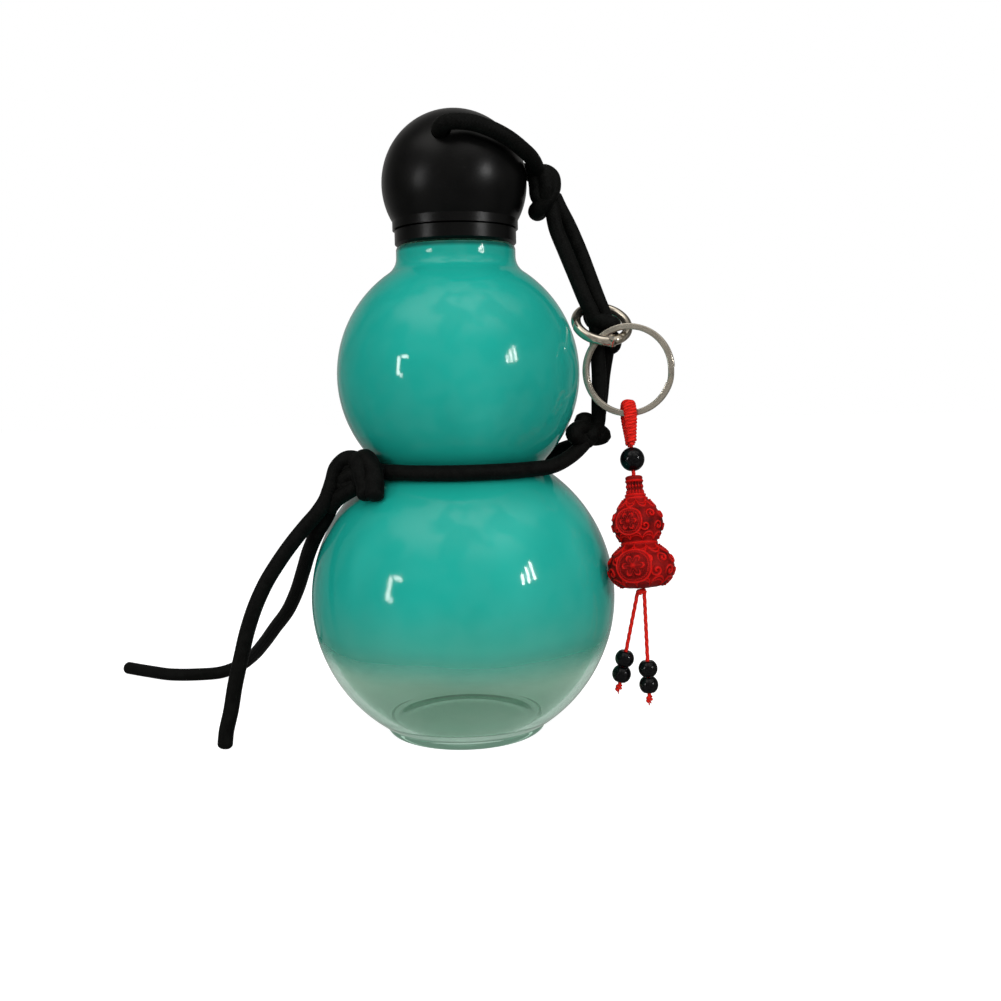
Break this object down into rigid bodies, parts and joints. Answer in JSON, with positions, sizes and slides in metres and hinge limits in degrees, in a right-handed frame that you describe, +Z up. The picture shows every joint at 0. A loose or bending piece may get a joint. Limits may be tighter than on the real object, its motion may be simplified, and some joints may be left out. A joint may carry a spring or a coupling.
{
  "type": "glass water flask with cord lanyard",
  "caption": "Gourd-shaped glass water flask with a screw-on ball cap, a knotted cord lanyard with long tails, a spring-gate ring, a split ring and a carved gourd charm.",
  "frame": {"origin": "centre of the flask's flat foot, on the surface that it stands on", "axes": "+Z up along the flask's axis, -Y towards the viewer of the picture, +X to the side of the lanyard and charm"},
  "size_m": [0.1981, 0.1254, 0.1915],
  "materials": {
    "flask_glass": "polished glass, tinted teal from the neck down and clear at the foot",
    "cap_plastic": "soft matte",
    "liner_plastic": "smooth",
    "silicone": "smooth silicone",
    "black_cord": "braided cord",
    "nickel": "polished, warm nickel tone",
    "steel": "bright drawn wire",
    "red_cord": "twisted silky cord",
    "black_bead": "polished round bead",
    "red_carving": "carved red lacquer, satin"
  },
  "bodies": {
    "bottle": {"bottle_body": "flask_glass", "side_cord_upper_front": "black_cord", "side_cord_upper_back": "black_cord", "ring_knot": "black_cord", "side_cord_lower_front": "black_cord", "side_cord_lower_back": "black_cord", "waist_knot": "black_cord", "waist_cord_front": "black_cord", "waist_cord_back": "black_cord", "tie_knot": "black_cord", "tail_front": "black_cord", "tail_back": "black_cord"},
    "lanyard_top": {"cap_knot": "black_cord", "cap_loop_front": "black_cord", "cap_loop_back": "black_cord"},
    "cap": {"cap_shell": "cap_plastic", "cap_liner": "liner_plastic", "cap_seal": "silicone", "cap_cord": "black_cord"},
    "carrier": {"clip_ring": "nickel", "clip_pin": "steel", "clip_spring": "steel"},
    "gate": {"clip_gate": "nickel"},
    "key_ring": {"split_ring": "nickel"},
    "charm": {"charm_loop": "red_cord", "charm_thread": "red_cord", "charm_bead": "black_bead", "charm_cord": "red_cord", "charm_gourd": "red_carving"},
    "tassel_left": {"tassel_cord_left": "red_cord", "tassel_bead_left_upper": "black_bead", "tassel_bead_left_lower": "black_bead", "tassel_end_left": "red_cord"},
    "tassel_right": {"tassel_cord_right": "red_cord", "tassel_bead_right_upper": "black_bead", "tassel_bead_right_lower": "black_bead", "tassel_end_right": "red_cord"}
  },
  "joints": [
    {"name": "cap_lift", "type": "slide", "parent": "bottle", "child": "lanyard_top", "axis": [0, 0, 1], "range_m": [0, 0.005], "deforming": ["side_cord_upper_front", "side_cord_upper_back"]},
    {"name": "cap_turn", "type": "hinge", "parent": "lanyard_top", "child": "cap", "pos_m": [0, 0, 0.1694], "axis": [0, 0, 1], "range_deg": [0, 360]},
    {"name": "carrier_swing", "type": "hinge", "parent": "bottle", "child": "carrier", "pos_m": [0.0442, -0.0043, 0.1265], "axis": [0.9877, 0, -0.1564], "range_deg": [-20, 0]},
    {"name": "gate_open", "type": "hinge", "parent": "carrier", "child": "gate", "pos_m": [0.04655, -0.00984, 0.12108], "axis": [-0.1162, 0.6691, -0.734], "range_deg": [0, 6.5], "stiffness_Nm_per_rad": 0.0005, "springref_deg": -17.19, "deforming": ["clip_spring"]},
    {"name": "key_ring_swing", "type": "hinge", "parent": "carrier", "child": "key_ring", "pos_m": [0.0468, -0.00985, 0.12105], "axis": [-0.342, -0.9397, 0], "range_deg": [0, 18]},
    {"name": "charm_swing", "type": "hinge", "parent": "key_ring", "child": "charm", "pos_m": [0.0514, -0.00965, 0.09915], "axis": [1, 0, 0], "range_deg": [-60, 0]},
    {"name": "tassel_left_swing", "type": "hinge", "parent": "charm", "child": "tassel_left", "pos_m": [0.05196, -0.02185, 0.0469], "axis": [-1, 0, 0], "range_deg": [0, 35]},
    {"name": "tassel_right_swing", "type": "hinge", "parent": "charm", "child": "tassel_right", "pos_m": [0.05376, -0.02185, 0.0469], "axis": [0, 1, 0], "range_deg": [-35, 0]}
  ],
  "couplings": [
    {"joint": "cap_turn", "follows": "cap_lift", "rad_per_m": 1256.6}
  ]
}
